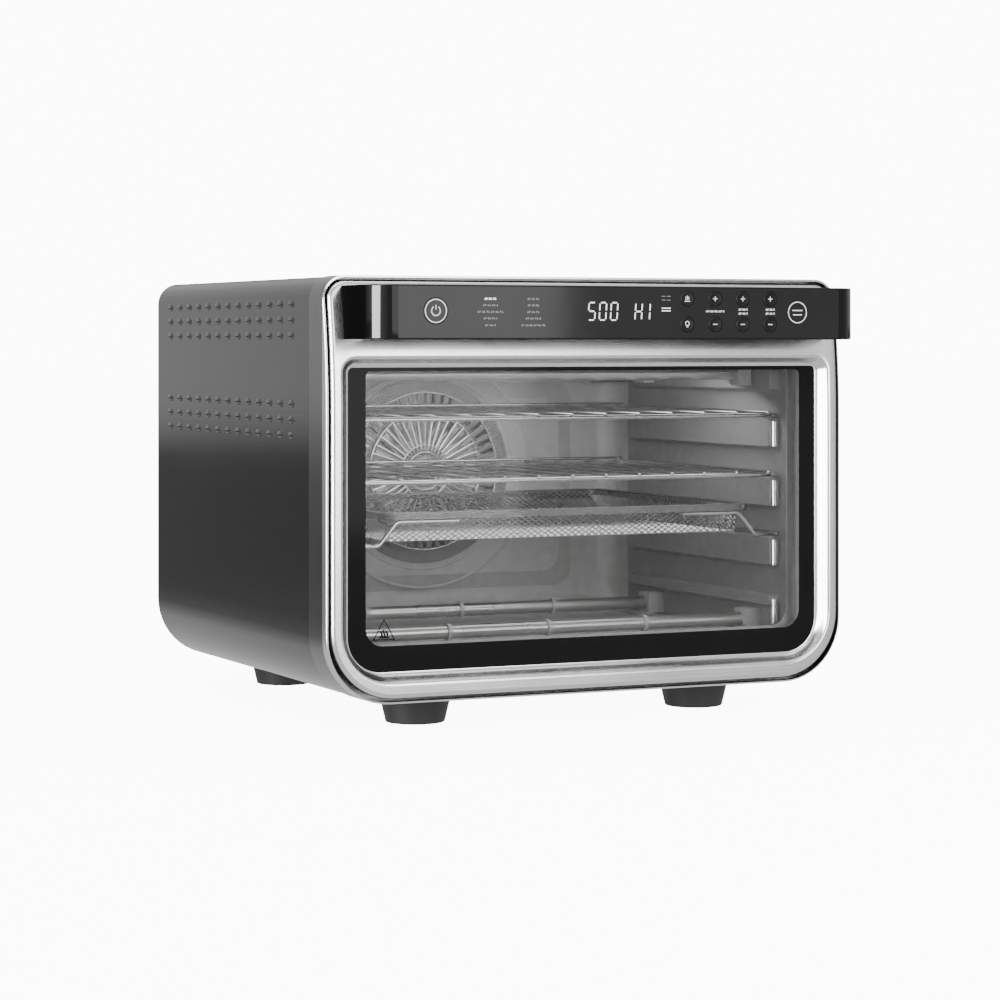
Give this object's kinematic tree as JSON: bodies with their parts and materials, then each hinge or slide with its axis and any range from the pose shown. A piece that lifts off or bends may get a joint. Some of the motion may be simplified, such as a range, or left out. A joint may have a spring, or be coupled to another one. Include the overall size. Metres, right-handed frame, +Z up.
{
  "type": "toaster oven",
  "caption": "Countertop convection toaster oven: drop-down glass door with a control-panel handle, wire racks, mesh basket, side rails and rear fan.",
  "frame": {"origin": "on the counter, below the middle of the whole oven's box, under the feet", "axes": "+X to the right as seen from the front, +Y from the door towards the back, +Z up"},
  "size_m": [0.434, 0.5136, 0.336],
  "materials": {
    "case_steel": "dark fine-brushed stainless sheet",
    "bezel_steel": "darker satin stainless, polished front edge",
    "door_steel": "bright brushed stainless",
    "control_gloss": "deep gloss black",
    "button_gloss": "gloss black with printed mark",
    "window_glass": "clear toughened",
    "lamp_glass": "clear, slightly warm",
    "oven_steel": "matt aluminised steel sheet",
    "galvanised": "galvanised sheet",
    "chrome_wire": "bright chromed steel wire",
    "basket_steel": "bright expanded stainless mesh",
    "heater_steel": "satin heater sheath",
    "ceramic_white": "matt ceramic",
    "fan_aluminium": "pressed aluminium",
    "motor_steel": "black painted",
    "foot_rubber": "matt black rubber",
    "gasket_rubber": "dark grey silicone",
    "insulation": "white mineral wool blanket",
    "circuit_green": "green circuit board",
    "black_plastic": "matt black moulding",
    "rear_plastic": "black textured powder coat",
    "screw_steel": "zinc plated"
  },
  "bodies": {
    "oven": {"outer_wrap": "case_steel", "front_bezel": "bezel_steel", "front_frame": "galvanised", "cavity_left_wall": "oven_steel", "cavity_right_wall": "oven_steel", "cavity_floor": "oven_steel", "cavity_roof": "oven_steel", "cavity_back_wall": "oven_steel", "fan_grille": "oven_steel", "fan_chamber": "galvanised", "fan_motor": "motor_steel", "lower_heaters": "heater_steel", "upper_heaters": "heater_steel", "heater_brackets": "oven_steel", "lamp_lens": "lamp_glass", "lamp_bulb": "ceramic_white", "temperature_probe": "heater_steel", "insulation_blanket": "insulation", "power_board": "circuit_green", "rear_panel": "galvanised", "rear_housing": "rear_plastic", "cord_gland": "black_plastic", "foot_front_left": "foot_rubber", "foot_front_right": "foot_rubber", "foot_rear_left": "foot_rubber", "foot_rear_right": "foot_rubber", "case_screws": "screw_steel", "hinge_bracket_left": "galvanised", "hinge_bracket_right": "galvanised"},
    "fan": {"fan_wheel": "fan_aluminium", "motor_shaft": "screw_steel", "cooling_blade": "black_plastic"},
    "door": {"door_frame": "door_steel", "door_glass_outer": "window_glass", "door_glass_inner": "window_glass", "door_liner": "oven_steel", "door_gasket": "gasket_rubber", "hinge_pins": "screw_steel", "hinge_springs": "screw_steel", "handle_housing": "control_gloss", "handle_screws": "screw_steel", "control_panel": "control_gloss", "control_board": "circuit_green", "display_module": "black_plastic"},
    "upper_rack": {"upper_rack": "chrome_wire"},
    "lower_rack": {"lower_rack": "chrome_wire"},
    "basket": {"basket_mesh": "basket_steel", "basket_rim": "basket_steel", "basket_rails": "chrome_wire"},
    "crumb_tray": {"crumb_tray": "oven_steel"},
    "button_power": {"button_power": "button_gloss"},
    "button_start": {"button_start": "button_gloss"},
    "button_rack_heat": {"button_rack_heat": "button_gloss"},
    "button_light": {"button_light": "button_gloss"},
    "button_function_up": {"button_function_up": "button_gloss"},
    "button_function_down": {"button_function_down": "button_gloss"},
    "button_time_up": {"button_time_up": "button_gloss"},
    "button_time_down": {"button_time_down": "button_gloss"},
    "button_level_up": {"button_level_up": "button_gloss"},
    "button_level_down": {"button_level_down": "button_gloss"}
  },
  "joints": [
    {"name": "door_hinge", "type": "hinge", "parent": "oven", "child": "door", "pos_m": [0, -0.2017, 0.0338], "axis": [1, 0, 0], "range_deg": [0, 90], "stiffness_Nm_per_rad": 1.5, "springref_deg": -28.65},
    {"name": "fan_spin", "type": "hinge", "parent": "oven", "child": "fan", "pos_m": [0, 0.1368, 0.177], "axis": [0, 1, 0], "continuous": true},
    {"name": "upper_rack_slide", "type": "slide", "parent": "oven", "child": "upper_rack", "axis": [0, -1, 0], "range_m": [0, 0.006]},
    {"name": "lower_rack_slide", "type": "slide", "parent": "oven", "child": "lower_rack", "axis": [0, -1, 0], "range_m": [0, 0.006]},
    {"name": "basket_slide", "type": "slide", "parent": "oven", "child": "basket", "axis": [0, -1, 0], "range_m": [0, 0.006]},
    {"name": "crumb_tray_slide", "type": "slide", "parent": "oven", "child": "crumb_tray", "axis": [0, -1, 0], "range_m": [0, 0.006]},
    {"name": "button_power_press", "type": "slide", "parent": "door", "child": "button_power", "axis": [0, 1, 0], "range_m": [0, 0.0008], "stiffness_N_per_m": 300},
    {"name": "button_start_press", "type": "slide", "parent": "door", "child": "button_start", "axis": [0, 1, 0], "range_m": [0, 0.0008], "stiffness_N_per_m": 300},
    {"name": "button_rack_heat_press", "type": "slide", "parent": "door", "child": "button_rack_heat", "axis": [0, 1, 0], "range_m": [0, 0.0008], "stiffness_N_per_m": 300},
    {"name": "button_light_press", "type": "slide", "parent": "door", "child": "button_light", "axis": [0, 1, 0], "range_m": [0, 0.0008], "stiffness_N_per_m": 300},
    {"name": "button_function_up_press", "type": "slide", "parent": "door", "child": "button_function_up", "axis": [0, 1, 0], "range_m": [0, 0.0008], "stiffness_N_per_m": 300},
    {"name": "button_function_down_press", "type": "slide", "parent": "door", "child": "button_function_down", "axis": [0, 1, 0], "range_m": [0, 0.0008], "stiffness_N_per_m": 300},
    {"name": "button_time_up_press", "type": "slide", "parent": "door", "child": "button_time_up", "axis": [0, 1, 0], "range_m": [0, 0.0008], "stiffness_N_per_m": 300},
    {"name": "button_time_down_press", "type": "slide", "parent": "door", "child": "button_time_down", "axis": [0, 1, 0], "range_m": [0, 0.0008], "stiffness_N_per_m": 300},
    {"name": "button_level_up_press", "type": "slide", "parent": "door", "child": "button_level_up", "axis": [0, 1, 0], "range_m": [0, 0.0008], "stiffness_N_per_m": 300},
    {"name": "button_level_down_press", "type": "slide", "parent": "door", "child": "button_level_down", "axis": [0, 1, 0], "range_m": [0, 0.0008], "stiffness_N_per_m": 300}
  ]
}
